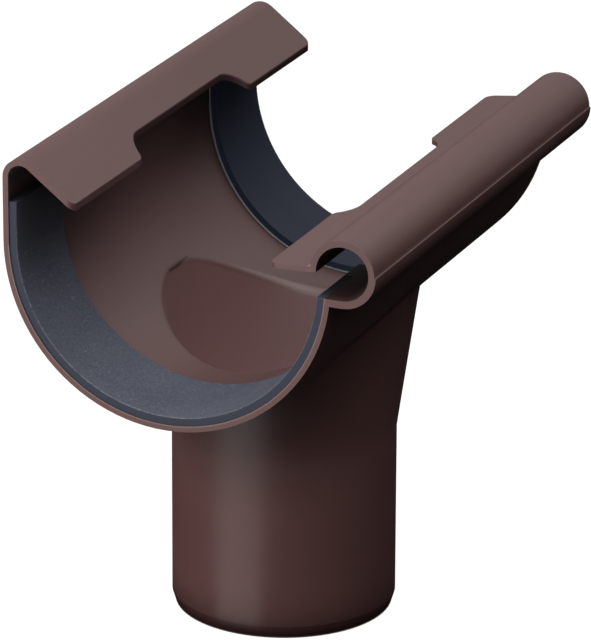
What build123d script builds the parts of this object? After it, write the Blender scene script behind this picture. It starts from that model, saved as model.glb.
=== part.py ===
from build123d import *
import os
from math import cos, radians, sin, sqrt, tan

os.makedirs("parts", exist_ok=True)

# Gutter outlet for a half-round gutter: one moulded body and two rubber seals.
# X runs along the gutter, +Y is the wall side with the hook, -Y the front with the bead tube.
# The origin is on the axis of the spigot, at its lower end, on which the outlet stands.

# Saddle that carries the gutter
saddle_length = 218.4
saddle_axis_height = 171.6
saddle_outer_radius = 64.5
wall = 2.2

# Seals in the two sockets, each with a thin foot along its inner end
seal_width = 39.4
seal_thickness = 3.0
seal_end_setback = 0.5
seal_back_rise = 14.6
seal_foot_width = 0.8
seal_foot_thickness = 0.5
ear_length = 13.0
ear_height = 9.0

# Hook over the back edge of the gutter
hook_fold_radius = 7.1
hook_fold_rise = 24.1
hook_lip_length = 21.2
hook_lip_slope = 37.5
hook_notch_half_length = 49.4
hook_notch_depth = 10.0
hook_notch_run = 11.7
hook_corner_radius = 3.0

# Tube that takes the rolled front bead of the gutter
bead_overhang = 4.5
bead_rise = 5.5
bead_bore_radius = 10.1
arch_wall = 2.3
trough_wall = 2.8
flange_reach = 29.2
flange_root_rise = 1.2
flange_slope = 4.8
flange_thickness = 2.0
flange_end_skew = 2.0
flange_notch_half_length = 47.5
flange_notch_depth = 6.3
flange_notch_run = 11.0
flange_corner_radius = 4.0

# Spigot for the downpipe
spigot_radius = 43.1
spigot_wall = 2.3
spigot_height = 72.0
spigot_chamfer_height = 4.3
spigot_chamfer_depth = 1.3

# Funnel, round outside, while its water way opens more along the gutter than across it
funnel_flare = 8.3
mouth_flare_along = 9.3
mouth_flare_across = 4.9
mouth_rounding = 4.0
funnel_top_drop = 20.0

# Play within which an edge counts as lying on a free edge
edge_play = 0.1

half_length = saddle_length / 2
socket_radius = saddle_outer_radius - wall
seal_radius = socket_radius - seal_thickness
seal_back_height = saddle_axis_height + seal_back_rise
hook_fold_height = saddle_axis_height + hook_fold_rise
bead_centre_y = -saddle_outer_radius - bead_overhang
bead_centre_height = saddle_axis_height + bead_rise
flange_edge_y = bead_centre_y + flange_reach
flange_root_height = bead_centre_height + flange_root_rise
bore_radius = spigot_radius - spigot_wall
funnel_top_height = saddle_axis_height - funnel_top_drop
funnel_height = funnel_top_height - spigot_height
funnel_spread = tan(radians(funnel_flare)) * funnel_height
mouth_spread_along = tan(radians(mouth_flare_along)) * funnel_height
mouth_spread_across = tan(radians(mouth_flare_across)) * funnel_height
socket_start = half_length - seal_width
rim_height = bead_centre_height - bead_bore_radius
funnel_middle = (spigot_height + saddle_axis_height - saddle_outer_radius) / 2


def arc_y(radius, height):
    """Distance from the middle plane to a circle round the saddle axis, at one height."""
    return sqrt(radius**2 - (saddle_axis_height - height) ** 2)


def turned(centre, radius, angle):
    """Point on a circle in the section plane, by its angle from +Y towards +Z."""
    return (centre[0] + radius * cos(radians(angle)), centre[1] + radius * sin(radians(angle)))


def band_section(inner_radius, ear_only=False):
    """Half-round band inside the socket wall, from the front rim up the back wall, or its front end."""
    outer_rim = (-arc_y(socket_radius, rim_height), rim_height)
    inner_rim = (-arc_y(inner_radius, rim_height), rim_height)
    with BuildSketch(Plane.YZ) as band:
        with BuildLine():
            outer_side = (socket_radius, saddle_axis_height)
            inner_side = (inner_radius, saddle_axis_height)
            ThreePointArc(outer_rim, (0, saddle_axis_height - socket_radius), outer_side)
            Polyline(
                outer_side,
                (socket_radius, seal_back_height),
                (inner_radius, seal_back_height),
                inner_side,
            )
            ThreePointArc(inner_side, (0, saddle_axis_height - inner_radius), inner_rim)
            Line(inner_rim, outer_rim)
        make_face()
        if ear_only:
            with Locations((-socket_radius, rim_height)):
                Rectangle(socket_radius, 2 * ear_height, mode=Mode.INTERSECT)
    return band.sketch


def notch_outline(edge, inward, half_length_of_notch, depth, run):
    """Shallow cut-out in a free edge, seen from above, with ends swept in by arcs to its straight floor."""
    floor_end = half_length_of_notch - run
    with BuildSketch(Plane(origin=(0, *edge), x_dir=(inward, 0, 0), z_dir=(0, 0, 1))) as notch:
        with BuildLine():
            TangentArc((floor_end, depth), (half_length_of_notch, 0), tangent=(1, 0))
            Polyline(
                (half_length_of_notch, 0),
                (half_length_of_notch, -depth),
                (-half_length_of_notch, -depth),
                (-half_length_of_notch, 0),
            )
            TangentArc((-floor_end, depth), (-half_length_of_notch, 0), tangent=(-1, 0))
            Line((-floor_end, depth), (floor_end, depth))
        make_face()
    return notch.sketch


# Section of the saddle, hook and bead tube, seen along X
hook_centre = (saddle_outer_radius - hook_fold_radius, hook_fold_height)
lip_angle = 90 + hook_lip_slope
lip_root = turned(hook_centre, hook_fold_radius, lip_angle)
lip_root_inner = turned(hook_centre, hook_fold_radius - wall, lip_angle)
lip_tip = turned(lip_root, hook_lip_length, 180 + hook_lip_slope)
lip_tip_inner = (lip_tip[0], lip_tip[1] - wall / cos(radians(hook_lip_slope)))
lip_notch_depth = hook_notch_depth * cos(radians(hook_lip_slope))

bead_centre = (bead_centre_y, bead_centre_height)
arch_radius = bead_bore_radius + arch_wall
trough_radius = bead_bore_radius + trough_wall
trough_bottom = bead_centre_height - trough_radius
flange_fall = tan(radians(flange_slope))
flange_drop = flange_thickness / cos(radians(flange_slope))
flange_root_y = bead_centre_y + sqrt(arch_radius**2 - (flange_root_height - bead_centre_height) ** 2)
flange_edge_height = flange_root_height - flange_fall * (flange_edge_y - flange_root_y)
foot_y = bead_centre_y + bead_bore_radius
foot_height = flange_root_height - flange_fall * (foot_y - flange_root_y) - flange_drop

with BuildSketch(Plane.YZ) as saddle_section:
    with BuildLine():
        outer_front = (-arc_y(saddle_outer_radius, trough_bottom), trough_bottom)
        ThreePointArc(
            (saddle_outer_radius, saddle_axis_height),
            (0, saddle_axis_height - saddle_outer_radius),
            outer_front,
        )
        Line(outer_front, (bead_centre_y, trough_bottom))
        ThreePointArc(
            (bead_centre_y, trough_bottom),
            turned(bead_centre, trough_radius, 225),
            turned(bead_centre, trough_radius, 180),
        )
        Line(turned(bead_centre, trough_radius, 180), turned(bead_centre, arch_radius, 180))
        ThreePointArc(
            turned(bead_centre, arch_radius, 180),
            turned(bead_centre, arch_radius, 90),
            (flange_root_y, flange_root_height),
        )
        Polyline(
            (flange_root_y, flange_root_height),
            (flange_edge_y, flange_edge_height),
            (flange_edge_y, flange_edge_height - flange_drop),
            (foot_y, foot_height),
            turned(bead_centre, bead_bore_radius, 0),
        )
        ThreePointArc(
            turned(bead_centre, bead_bore_radius, 0),
            turned(bead_centre, bead_bore_radius, 135),
            turned(bead_centre, bead_bore_radius, 270),
        )
        inner_front = (-arc_y(socket_radius, rim_height), rim_height)
        Line((bead_centre_y, rim_height), inner_front)
        ThreePointArc(
            inner_front,
            (0, saddle_axis_height - socket_radius),
            (socket_radius, saddle_axis_height),
        )
        Line((socket_radius, saddle_axis_height), (socket_radius, hook_fold_height))
        ThreePointArc(
            (socket_radius, hook_fold_height),
            turned(hook_centre, hook_fold_radius - wall, lip_angle / 2),
            lip_root_inner,
        )
        Polyline(lip_root_inner, lip_tip_inner, lip_tip, lip_root)
        ThreePointArc(
            lip_root,
            turned(hook_centre, hook_fold_radius, lip_angle / 2),
            (saddle_outer_radius, hook_fold_height),
        )
        Line((saddle_outer_radius, hook_fold_height), (saddle_outer_radius, saddle_axis_height))
    make_face()

with BuildSketch(Plane.XY.offset(flange_edge_height)) as flange_skew:
    with BuildLine():
        Polyline(
            (half_length, flange_root_y),
            (half_length, flange_edge_y),
            (half_length - flange_end_skew, flange_edge_y),
            close=True,
        )
    make_face()
    mirror(about=Plane.YZ)

lip_notch = notch_outline(lip_tip, 1, hook_notch_half_length, lip_notch_depth, hook_notch_run)
flange_edge = (flange_edge_y, flange_edge_height)
flange_notch = notch_outline(flange_edge, -1, flange_notch_half_length, flange_notch_depth, flange_notch_run)
seal_band = band_section(seal_radius)
seal_foot = band_section(socket_radius - seal_foot_thickness)
ear = band_section(seal_radius, ear_only=True)
ear_cut = band_section(seal_radius - wall, ear_only=True)

with BuildPart() as outlet_body:
    # Spigot and flared funnel, trimmed where the gutter runs through
    with BuildSketch(Plane.XZ):
        with BuildLine():
            Polyline(
                (0, 0),
                (spigot_radius - spigot_chamfer_depth, 0),
                (spigot_radius, spigot_chamfer_height),
                (spigot_radius, spigot_height),
                (spigot_radius + funnel_spread, funnel_top_height),
                (0, funnel_top_height),
                close=True,
            )
        make_face()
    revolve(axis=Axis.Z)
    with BuildSketch(Plane.YZ):
        with Locations((0, saddle_axis_height)):
            Circle(socket_radius)
    extrude(amount=half_length, both=True, mode=Mode.SUBTRACT)

    # Wall of the saddle with the hook and the bead tube
    extrude(saddle_section.sketch, amount=half_length, both=True)

    # Tabs of the lip and of the flange, with the cut-outs between them
    extrude(flange_skew.sketch, amount=2 * flange_thickness, both=True, mode=Mode.SUBTRACT)
    extrude(lip_notch, amount=hook_notch_depth, both=True, mode=Mode.SUBTRACT)
    extrude(flange_notch, amount=2 * flange_thickness, both=True, mode=Mode.SUBTRACT)
    end_edges = outlet_body.edges().filter_by(Axis.Z)
    lip_corners = end_edges.filter_by_position(Axis.Y, lip_tip[0] - edge_play, lip_tip[0] + edge_play)
    flange_corners = end_edges.filter_by_position(
        Axis.Y, flange_edge_y - edge_play, flange_edge_y + edge_play
    )
    fillet(lip_corners, hook_corner_radius)
    fillet(flange_corners, flange_corner_radius)

    # Ear over the front corner of each seal
    extrude(Pos(socket_start, 0, 0) * ear, amount=ear_length)
    extrude(Pos(-socket_start, 0, 0) * ear, amount=-ear_length)

    # Water way down through the funnel
    with BuildSketch():
        Circle(bore_radius)
    extrude(amount=spigot_height, mode=Mode.SUBTRACT)
    with BuildSketch(Plane.XY.offset(spigot_height)):
        Circle(bore_radius)
    with BuildSketch(Plane.XY.offset(funnel_top_height)):
        Ellipse(bore_radius + mouth_spread_along, bore_radius + mouth_spread_across)
    loft(ruled=True, mode=Mode.SUBTRACT)
    mouth = outlet_body.edges(Select.LAST).filter_by_position(Axis.Z, funnel_middle, funnel_top_height)
    fillet(mouth, mouth_rounding)

with BuildPart() as seal_right:
    extrude(Pos(socket_start, 0, 0) * seal_band, amount=seal_width - seal_end_setback)
    extrude(Pos(socket_start, 0, 0) * seal_foot, amount=-seal_foot_width)
    extrude(Pos(socket_start, 0, 0) * ear_cut, amount=ear_length, mode=Mode.SUBTRACT)

with BuildPart() as seal_left:
    mirror(seal_right.part, about=Plane.YZ)

outlet_body.part.label = "outlet_body"
seal_left.part.label = "seal_left"
seal_right.part.label = "seal_right"
export_step(outlet_body.part, "parts/outlet_body.step")
export_step(seal_left.part, "parts/seal_left.step")
export_step(seal_right.part, "parts/seal_right.step")
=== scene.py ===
import math

import bpy
import numpy as np
from mathutils import Matrix, Vector

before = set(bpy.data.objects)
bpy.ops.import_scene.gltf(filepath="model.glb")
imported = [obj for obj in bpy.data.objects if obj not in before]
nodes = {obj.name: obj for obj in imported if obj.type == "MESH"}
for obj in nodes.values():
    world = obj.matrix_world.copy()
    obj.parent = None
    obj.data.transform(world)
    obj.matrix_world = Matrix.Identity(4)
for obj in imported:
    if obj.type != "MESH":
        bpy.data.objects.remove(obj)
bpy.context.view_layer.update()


class Sock:
    """An output socket. + - * and abs() on it add Math nodes, and three methods make masks from 0 to 1."""

    def __init__(self, tree, socket):
        self.tree, self.socket = tree, socket

    def join(self, operation, first, second=0.0, clamp=False):
        """Math node for an operation on one or two values."""
        node = self.tree.nodes.new("ShaderNodeMath")
        node.operation, node.use_clamp = operation, clamp
        for slot, value in zip(node.inputs, (first, second)):
            if isinstance(value, Sock):
                self.tree.links.new(value.socket, slot)
            else:
                slot.default_value = value
        return Sock(self.tree, node.outputs[0])

    def __add__(self, other):
        return self.join("ADD", self, other)

    def __radd__(self, other):
        return self.join("ADD", other, self)

    def __sub__(self, other):
        return self.join("SUBTRACT", self, other)

    def __rsub__(self, other):
        return self.join("SUBTRACT", other, self)

    def __mul__(self, other):
        return self.join("MULTIPLY", self, other)

    def __rmul__(self, other):
        return self.join("MULTIPLY", other, self)

    def __abs__(self):
        return self.join("ABSOLUTE", self)

    def root(self):
        """Square root of the value."""
        return self.join("SQRT", self)

    def clamped(self):
        """The value held between 0 and 1."""
        return self.join("ADD", self, clamp=True)

    def beyond(self, start, run):
        """Mask: the way past the start, divided by the run and held between 0 and 1."""
        return ((self - start) * (1 / run)).clamped()

    def short_of(self, end, run):
        """Mask: the way left before the end, divided by the run and held between 0 and 1."""
        return ((end - self) * (1 / run)).clamped()

    def near(self, middle, half, run):
        """Mask: the half width less the distance from the middle, over the run and held between 0 and 1."""
        return abs(self - middle).short_of(half, run)


class Nodes:
    """Nodes of a material or the world, laid by add(): type, settings, then values or links of sockets."""

    def __init__(self, owner):
        owner.use_nodes = True
        self.owner, self.tree = owner, owner.node_tree
        self.tree.nodes.clear()

    def add(self, kind, settings=None, output=0, **sockets):
        node = self.tree.nodes.new("ShaderNode" + kind)
        for key, value in (settings or {}).items():
            setattr(node, key, value)
        for key, value in sockets.items():
            socket = self.socket(node, key)
            if isinstance(value, Sock):
                self.tree.links.new(value.socket, socket)
            else:
                socket.default_value = value
        return Sock(self.tree, node.outputs[output]) if node.outputs else None

    def socket(self, node, key):
        """Input found by its name in lower case, or by its number after an underscore."""
        if key.startswith("_"):
            return node.inputs[int(key[1:])]
        for socket in node.inputs:
            if socket.enabled and socket.name.lower().replace(" ", "_") == key:
                return socket
        raise KeyError(f"{node.name} has no input {key}")

    def mix(self, amount, first, second):
        """Colour between two colours, the second one by the amount."""
        return self.add("Mix", {"data_type": "RGBA"}, output=2, _0=amount, _6=first, _7=second)


def rgb(red, green, blue):
    return (red, green, blue, 1.0)


def across(first, second):
    """Distance from two coordinates: the square root of the sum of their squares."""
    return (first * first + second * second).root()


# Measures of the outlet in metres, which the marks on its finishes follow
SADDLE_AXIS_Z = 0.1716
SADDLE_OUTSIDE, SADDLE_INSIDE = 0.0645, 0.0623
SPIGOT_OUTSIDE, SPIGOT_CORE, SPIGOT_TOP = 0.0431, 0.0410, 0.072
CHAMFER_TOP, BRIM_HEIGHT = 0.0043, 0.0045
FUNNEL_FLARE = math.tan(math.radians(8.3))
LIP_TIP_Y, LIP_TIP_Z, LIP_FOLD_Y, LIP_FOOT_Z = 0.03626, 0.18843, 0.051, 0.183
LIP_SINE, LIP_COSINE = math.sin(math.radians(37.5)), math.cos(math.radians(37.5))
END_FACE = 0.1088
SEAL_CUT_FACE, SEAL_BRINK, SEAL_FOOT, SEAL_INSIDE = 0.10845, 0.1080, 0.0698, 0.0596

# Ways in metres over which the mask of a mark goes from 0 to 1
HAIR, CRISP, SOFT = 0.0001, 0.0002, 0.001

BROWN = rgb(0.061, 0.0280, 0.0275)
BROWN_WORN = rgb(0.076, 0.0390, 0.0380)
# Painted shade colour: folds, covered places, moulded lines and the lip's edges
BROWN_PAINTED_SHADE = rgb(0.010, 0.0030, 0.0030)
# Painted highlight colour for arrises and the end faces' inner edge
BROWN_PAINTED_HIGHLIGHT = rgb(0.16, 0.105, 0.098)
SLATE = rgb(0.026, 0.030, 0.046)
SLATE_BLOOM = rgb(0.068, 0.074, 0.098)
# Painted shade colour of the rubber in folds and covered places
SLATE_PAINTED_SHADE = rgb(0.006, 0.007, 0.011)
# Painted shade colour for the seal at the far end
SLATE_SHADED = rgb(0.007, 0.010, 0.022)
SLATE_CUT = rgb(0.020, 0.024, 0.038)
# Pale colour of the specks and the foot's line, and of the painted highlight on the brink
SEAL_LINE = rgb(0.10, 0.105, 0.12)
FLOOR_SHADED, FLOOR_SEEN, WHITE = rgb(0.04, 0.04, 0.04), rgb(0.1, 0.1, 0.1), rgb(1.0, 1.0, 1.0)
FLAG_BLACK = rgb(0.004, 0.004, 0.004)

# Painted highlights along arrises of the gutter: place in Y and Z, reach in metres, share of the highlight
# colour
PAINTED_HIGHLIGHT_ARRISES = (
    (-0.0563, 0.1784, 0.0010, 0.9),
    (-0.0816, 0.1771, 0.0006, 0.35),
)
# Lines around an axis: half width, and the height up to which each of them runs
RING_HALF, JOINT_REACH, JOINT_TOP, END_EDGE_TOP = 0.0005, 0.0014, 0.15, 0.17
# Painted shade at two creases of the mouth, on the inner wall: half width, radius that holds them, middle
# height and half height
CREASE_HALF, CREASE_RADIUS, CREASE_Z, CREASE_HALF_Z = 0.0003, 0.0635, 0.12, 0.03
CREASE_SHARE = 0.8
# Painted shade on the lip's edges: depths below its upper face, and the place and way along X over which
# it grows darker, from the near share of the shade colour by the added share
EDGE_START, EDGE_END, EDGE_DARK_X, EDGE_DARK_RUN = 0.0004, 0.0030, -0.055, 0.0167
EDGE_SHARE, EDGE_SHARE_ADDED = 0.35, 0.6
# Top of the smoother spigot, and the way over which the roughness changes
SMOOTH_TOP, SMOOTH_RUN = 0.066, 0.0033
# Open sky above a place: how far it is looked for, the share below which a place is covered, and its run
SKY_REACH, SKY_LIMIT, SKY_RUN = 0.06, 0.44, 0.37

BODY_ARRIS, SEAL_ARRIS = 0.0003, 0.00018
ARRIS_ANGLE, ARRIS_STEPS, WELD_REACH = math.radians(28), 2, 2e-6


def in_shade(f, colour, deep, reach, limit, run, shelter):
    """The colour, deep in folds and under cover.

    Painted shade. In a fold, the share of open air within the reach is short of the limit. Under cover, the
    share of open sky around the upright is short of its own limit, and the shade comes in by the share of
    shelter.
    """
    upright = f.add("CombineXYZ", x=0.0, y=0.0, z=1.0)
    open_air = f.add("AmbientOcclusion", {"samples": 8}, output="AO", distance=reach)
    open_sky = f.add(
        "AmbientOcclusion", {"samples": 12}, output="AO", distance=SKY_REACH, normal=upright
    )
    colour = f.mix(open_air.short_of(limit, run), colour, deep)
    return f.mix(open_sky.short_of(SKY_LIMIT, SKY_RUN) * shelter, colour, deep)


def moulded_lines(f, colour, x, y, z):
    """The colour with the body's lines around an axis.

    Painted shade darkens the chamfer and the brim of the spigot, and the joint line, where the distances
    from the funnel's cone and from the saddle's drum have a small sum. A painted highlight lies on the inner
    edge of the saddle's end faces.
    """
    from_spigot_axis = across(x, y)
    from_saddle_axis = across(y, z - SADDLE_AXIS_Z)
    outer_wall = from_spigot_axis.beyond(SPIGOT_CORE, CRISP)
    chamfer = z.short_of(CHAMFER_TOP, CRISP) * outer_wall
    brim = z.near(BRIM_HEIGHT, RING_HALF, CRISP) * outer_wall
    cone = abs(from_spigot_axis - SPIGOT_OUTSIDE - (z - SPIGOT_TOP) * FUNNEL_FLARE)
    drum = abs(from_saddle_axis - SADDLE_OUTSIDE)
    joint = (cone + drum).short_of(JOINT_REACH, SOFT) * z.short_of(JOINT_TOP, SOFT)
    # Painted highlight on the inner edge of the saddle's end faces
    end_edge_highlight = from_saddle_axis.near(SADDLE_INSIDE, RING_HALF, CRISP)
    end_edge_highlight = end_edge_highlight * abs(x).beyond(END_FACE, HAIR) * z.short_of(END_EDGE_TOP, SOFT)
    # Painted shade on the chamfer, the brim and the joint line, and the painted highlight on the end edge
    for line, share, tone in (
        (chamfer, 0.35, BROWN_PAINTED_SHADE),
        (brim, 0.7, BROWN_PAINTED_SHADE),
        (joint, 0.9, BROWN_PAINTED_SHADE),
        (end_edge_highlight, 0.55, BROWN_PAINTED_HIGHLIGHT),
    ):
        colour = f.mix(line * share, colour, tone)
    return colour


def moulded_arrises(f, colour, x, y, z):
    """The colour with the body's straight lines.

    Painted shade darkens two short creases at the mouth and the lip's edges, which lie below its upper face
    and grow darker towards the far end. Painted highlights lie on two arrises, each by the distance from its
    line along X.
    """
    inner_wall = across(y, z - SADDLE_AXIS_Z).short_of(CREASE_RADIUS, CRISP)
    inner_wall = inner_wall * z.near(CREASE_Z, CREASE_HALF_Z, SOFT)
    # Painted shade lines at two creases of the mouth
    for along, aside, place, middle, half in (
        (x, y, 0.0456, 0.0025, 0.0095),
        (y, x, 0.0504, 0.00575, 0.00675),
    ):
        crease = aside.near(place, CREASE_HALF, CRISP) * along.near(middle, half, SOFT)
        colour = f.mix(crease * inner_wall * CREASE_SHARE, colour, BROWN_PAINTED_SHADE)
    between_ends = abs(x).short_of(END_FACE, CRISP)
    # Painted shade on the lip's edges, darker towards the far end
    depth = (y - LIP_TIP_Y) * LIP_SINE - (z - LIP_TIP_Z) * LIP_COSINE
    lip_edge = depth.beyond(EDGE_START, CRISP) * depth.short_of(EDGE_END, CRISP)
    lip_edge = lip_edge * z.beyond(LIP_FOOT_Z, SOFT) * y.short_of(LIP_FOLD_Y, SOFT) * between_ends
    lip_share = x.beyond(EDGE_DARK_X, EDGE_DARK_RUN) * EDGE_SHARE_ADDED + EDGE_SHARE
    colour = f.mix(lip_edge * lip_share, colour, BROWN_PAINTED_SHADE)
    # Painted highlights along two arrises
    for place_y, place_z, width, share in PAINTED_HIGHLIGHT_ARRISES:
        wear_and_highlight = across(y - place_y, z - place_z).short_of(width, CRISP) * between_ends
        colour = f.mix(wear_and_highlight * share, colour, BROWN_PAINTED_HIGHLIGHT)
    return colour


def brown_plastic():
    """Satin moulded plastic.

    The brown is worn by cloudy flow marks, drawn out along the gutter, and by a fine grain. Painted shade
    darkens folds, covered places, moulded lines and the lip's edges, and painted highlights lighten some
    arrises. The roughness follows the clouds and faint rub marks, and is lower on the spigot.
    """
    f = Nodes(bpy.data.materials.new("brown_plastic"))
    point = f.add("TexCoord", output="Object")
    x, y, z = (f.add("SeparateXYZ", output=axis, vector=point) for axis in "XYZ")
    flow = f.add("Mapping", vector=point, scale=(6.0, 22.0, 22.0))
    streaks = f.add("Mapping", vector=point, scale=(9.0, 160.0, 160.0))
    clouds = f.add("TexNoise", vector=flow, scale=1.6, detail=3.0, roughness=0.5)
    grain = f.add("TexNoise", vector=point, scale=1500.0, detail=2.0, roughness=0.6)
    pebble = f.add("TexNoise", vector=point, scale=420.0, detail=2.0, roughness=0.5)
    rub = f.add("TexNoise", vector=streaks, scale=3.0, detail=4.0)
    wear_and_highlight = ((clouds - 0.5) * 0.7 + (grain - 0.5) * 0.35 + 0.35).clamped()
    colour = f.mix(wear_and_highlight, BROWN, BROWN_WORN)
    # Painted shade in folds and under cover
    colour = in_shade(f, colour, BROWN_PAINTED_SHADE, reach=0.030, limit=0.80, run=0.385, shelter=0.92)
    colour = moulded_lines(f, colour, x, y, z)
    colour = moulded_arrises(f, colour, x, y, z)
    on_spigot = z.short_of(SMOOTH_TOP, SMOOTH_RUN)
    roughness = (0.42 + (clouds - 0.5) * 0.08 + (rub - 0.5) * 0.10 - on_spigot * 0.04).clamped()
    relief = f.add("Bump", strength=0.10, distance=0.0002, height=grain * 0.25 + pebble * 0.6)
    face = f.add(
        "BsdfPrincipled", base_color=colour, roughness=roughness, normal=relief, specular_ior_level=0.5
    )
    f.add("OutputMaterial", surface=face)
    return f.owner


def seal_rubber():
    """Matt slate rubber.

    A fine speckle and a bloom in patches lighten the slate, with a few pale specks. Painted shade darkens
    folds, covered places and the whole seal at the far end, and the cut ends are dark. A painted highlight
    runs along the brink, and the foot has a pale line.
    """
    f = Nodes(bpy.data.materials.new("seal_rubber"))
    point = f.add("TexCoord", output="Object")
    x, y, z = (f.add("SeparateXYZ", output=axis, vector=point) for axis in "XYZ")
    bloom = f.add("TexNoise", vector=point, scale=38.0, detail=4.0, roughness=0.6)
    speckle = f.add("TexNoise", vector=point, scale=1300.0, detail=3.0, roughness=0.7)
    specks = f.add("TexNoise", vector=point, scale=760.0, detail=1.0, roughness=0.5)
    dust = ((bloom - 0.5) * 0.6 + (speckle - 0.5) * 2.2 + 0.42).clamped()
    colour = f.mix(dust, SLATE, SLATE_BLOOM)
    colour = f.mix(specks.beyond(0.66, 0.111) * 0.8, colour, SEAL_LINE)
    # Painted shade in folds and under cover
    colour = in_shade(f, colour, SLATE_PAINTED_SHADE, reach=0.045, limit=0.74, run=0.526, shelter=0.8)
    # Painted shade: the seal at the far end is darker
    colour = f.mix(x.beyond(0.0, SOFT) * 0.95, colour, SLATE_SHADED)
    colour = f.mix(abs(x).beyond(SEAL_CUT_FACE, HAIR), colour, SLATE_CUT)
    # Painted highlight along the seal's brink, broken up by the pale specks
    brink = across(y, z - SADDLE_AXIS_Z).short_of(SEAL_INSIDE, CRISP)
    brink = brink * abs(x).beyond(SEAL_BRINK, HAIR)
    colour = f.mix(brink * (specks * 1.6 - 0.3).clamped(), colour, SEAL_LINE)
    colour = f.mix(abs(x).short_of(SEAL_FOOT, HAIR), colour, SEAL_LINE)
    roughness = (0.66 + (bloom - 0.5) * 0.15).clamped()
    relief = f.add("Bump", strength=0.22, distance=0.0002, height=speckle)
    face = f.add(
        "BsdfPrincipled", base_color=colour, roughness=roughness, normal=relief, specular_ior_level=0.22
    )
    f.add("OutputMaterial", surface=face)
    return f.owner


def soften_arrises(node, width):
    """Welds the facets, rounds each arris to the width and evens the shading over flat and round faces."""
    weld = node.modifiers.new("weld", "WELD")
    weld.merge_threshold = WELD_REACH
    arris = node.modifiers.new("arris", "BEVEL")
    arris.width = width
    arris.segments = ARRIS_STEPS
    arris.limit_method = "ANGLE"
    arris.angle_limit = ARRIS_ANGLE
    arris.use_clamp_overlap = True
    even = node.modifiers.new("even", "WEIGHTED_NORMAL")
    even.keep_sharp = True


plastic, rubber = brown_plastic(), seal_rubber()
for name, node in nodes.items():
    finish, arris_width = (rubber, SEAL_ARRIS) if name.startswith("seal") else (plastic, BODY_ARRIS)
    node.data.materials.clear()
    node.data.materials.append(finish)
    node.data.polygons.foreach_set("use_smooth", np.ones(len(node.data.polygons), dtype=bool))
    soften_arrises(node, arris_width)


FLOOR_SIZE, FLOOR_Z, FLOOR_GLOW = 30.0, -0.0003, 0.94


def floor_paint():
    """Pale floor: a matt face that keeps the shadow, and a white glow where it is seen.

    It is seen by the camera, in reflections and through transmission.
    """
    f = Nodes(bpy.data.materials.new("studio_floor"))
    seen = f.add("LightPath", output="Is Camera Ray") + f.add("LightPath", output="Is Glossy Ray")
    seen = (seen + f.add("LightPath", output="Is Transmission Ray")).clamped()
    matt = f.add("BsdfDiffuse", color=f.mix(seen, FLOOR_SHADED, FLOOR_SEEN))
    glow = f.add("Emission", color=WHITE, strength=seen * FLOOR_GLOW)
    f.add("OutputMaterial", surface=f.add("AddShader", _0=matt, _1=glow))
    return f.owner


bpy.ops.mesh.primitive_plane_add(size=FLOOR_SIZE, location=(0, 0, FLOOR_Z))
ground = bpy.context.object
ground.name = "studio_floor"
ground.data.materials.append(floor_paint())

WASH, SHEEN, SHEEN_RISE = 0.08, 0.38, 0.125


def studio_world():
    """Even white room: a dim wash as light, and in reflections a sheen that rises just above the horizon."""
    world = bpy.data.worlds.new("studio")
    f = Nodes(world)
    world.cycles.sampling_method = "NONE"
    rise = f.add("SeparateXYZ", output="Z", vector=f.add("TexCoord", output="Generated"))
    mirror = f.add("LightPath", output="Is Glossy Ray")
    strength = WASH * (1 - mirror) + rise.beyond(0.0, SHEEN_RISE) * SHEEN * mirror
    f.add("OutputWorld", surface=f.add("Background", color=WHITE, strength=strength))
    return world


bpy.context.scene.world = studio_world()

# Outline in X and Y. The wedge that its first three corners and its last one leave open gives the spigot a
# soft upright reflection.
FLAG_OUTLINE = (
    (-0.0498, 0.0189),
    (-0.054, -0.0086),
    (-8.0, 0.03),
    (-8.0, -8.0),
    (8.0, -8.0),
    (8.0, 10.0),
    (-8.0, 10.0),
    (-8.0, 9.33),
)
FLAG_Z = 0.0005


def studio_flag(name, outline, height):
    """Level dark card, which shows in reflections alone and keeps the bright floor out of the undersides."""
    mesh = bpy.data.meshes.new(name)
    mesh.from_pydata([(x, y, height) for x, y in outline], [], [tuple(range(len(outline)))])
    card = bpy.data.objects.new(name, mesh)
    bpy.context.scene.collection.objects.link(card)
    f = Nodes(bpy.data.materials.new(name))
    f.add("OutputMaterial", surface=f.add("BsdfDiffuse", color=FLAG_BLACK))
    card.data.materials.append(f.owner)
    card.visible_camera = card.visible_shadow = card.visible_diffuse = card.visible_transmission = False


studio_flag("floor_flag", FLAG_OUTLINE, FLAG_Z)

NEUTRAL, WARM = (1.0, 1.0, 1.0), (1.0, 0.97, 0.92)
LAMP_AIM = (0, 0, 0.12)
# Name, place, width and height in metres, power in watts and tint
LAMPS = (
    ("front_high", (-0.483, -0.208, 1.199), 0.9, 0.8, 5.2, WARM),
    ("right_high", (0.147, -0.341, 1.261), 1.6, 1.6, 15.5, NEUTRAL),
    ("front_low", (-0.999, -0.43, 0.627), 0.9, 0.8, 6.8, WARM),
    ("back_fill", (1.25, 0.25, 0.45), 1.0, 1.0, 6.0, NEUTRAL),
    ("left_low", (-0.825, 0.709, 0.627), 1.5, 0.8, 25.0, WARM),
)
BORE_FOOT, BORE_AIM, BORE_WIDTH, BORE_POWER = (0, 0, 0.002), (0, 0, 0.2), 0.074, 0.3


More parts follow.
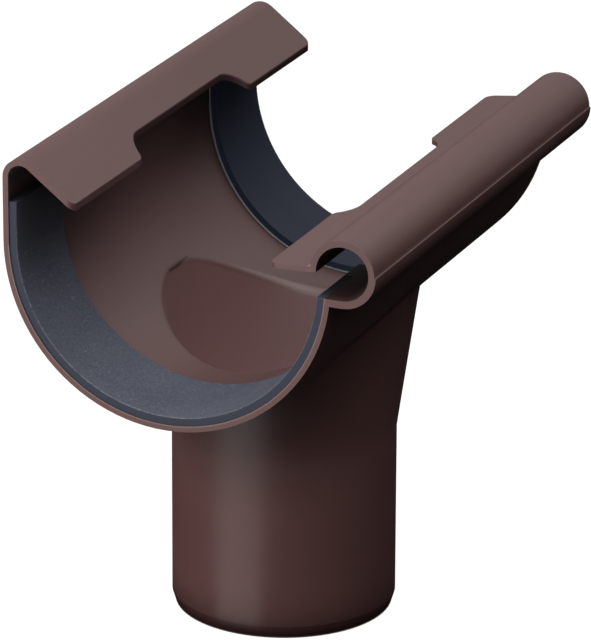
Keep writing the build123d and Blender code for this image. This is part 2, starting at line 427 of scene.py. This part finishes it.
def softbox(name, place, aim, width, height, power, tint):
    """Rectangular lamp at a place, turned to its aim."""
    data = bpy.data.lights.new(name, "AREA")
    data.shape = "RECTANGLE"
    data.size, data.size_y = width, height
    data.energy = power
    data.color = tint
    lamp = bpy.data.objects.new(name, data)
    bpy.context.scene.collection.objects.link(lamp)
    lamp.location = place
    lamp.rotation_mode = "QUATERNION"
    lamp.rotation_quaternion = (Vector(aim) - Vector(place)).to_track_quat("-Z", "Y")
    return lamp


lamps = {name: softbox(name, place, LAMP_AIM, *rest) for name, place, *rest in LAMPS}
lamps["back_fill"].visible_glossy = False

# Light that enters the spigot by its open lower end
bore_light = softbox("bore", BORE_FOOT, BORE_AIM, BORE_WIDTH, BORE_WIDTH, BORE_POWER, NEUTRAL)
bore_light.data.shape = "DISK"
bore_light.visible_camera = False

# The photograph's view: angles, distance and target in metres, focal length, centre and frame in pixels
AZIMUTH, ELEVATION, ROLL = math.radians(23.275), math.radians(20.122), math.radians(0.198)
DISTANCE, TARGET = 2.07376, Vector((0, 0, 0.11))
FOCAL, CENTRE_X, CENTRE_Y = 5451.96, 284.663, 328.435
FRAME_WIDTH, FRAME_HEIGHT = 591, 640
SENSOR = 36.0
CLIP_NEAR, CLIP_FAR = 0.1, 60.0


def view_camera():
    """Camera that looks along the azimuth, down by the elevation, from the distance before the target."""
    level = math.cos(ELEVATION)
    forward = Vector((level * math.cos(AZIMUTH), level * math.sin(AZIMUTH), -math.sin(ELEVATION)))
    side = forward.cross(Vector((0, 0, 1))).normalized()
    up = side.cross(forward)
    rolled_side = side * math.cos(ROLL) + up * math.sin(ROLL)
    rolled_up = up * math.cos(ROLL) - side * math.sin(ROLL)
    turn = Matrix((rolled_side, rolled_up, -forward)).transposed().to_4x4()
    camera = bpy.data.objects.new("camera", bpy.data.cameras.new("camera"))
    bpy.context.scene.collection.objects.link(camera)
    camera.matrix_world = Matrix.Translation(TARGET - forward * DISTANCE) @ turn
    lens = camera.data
    lens.sensor_fit = "AUTO"
    lens.sensor_width = SENSOR
    lens.lens = SENSOR * FOCAL / FRAME_HEIGHT
    lens.shift_x = (FRAME_WIDTH / 2 - CENTRE_X) / FRAME_HEIGHT
    lens.shift_y = (CENTRE_Y - FRAME_HEIGHT / 2) / FRAME_HEIGHT
    lens.clip_start, lens.clip_end = CLIP_NEAR, CLIP_FAR
    return camera


bpy.context.scene.camera = view_camera()
bpy.context.scene.view_settings.view_transform = "Standard"
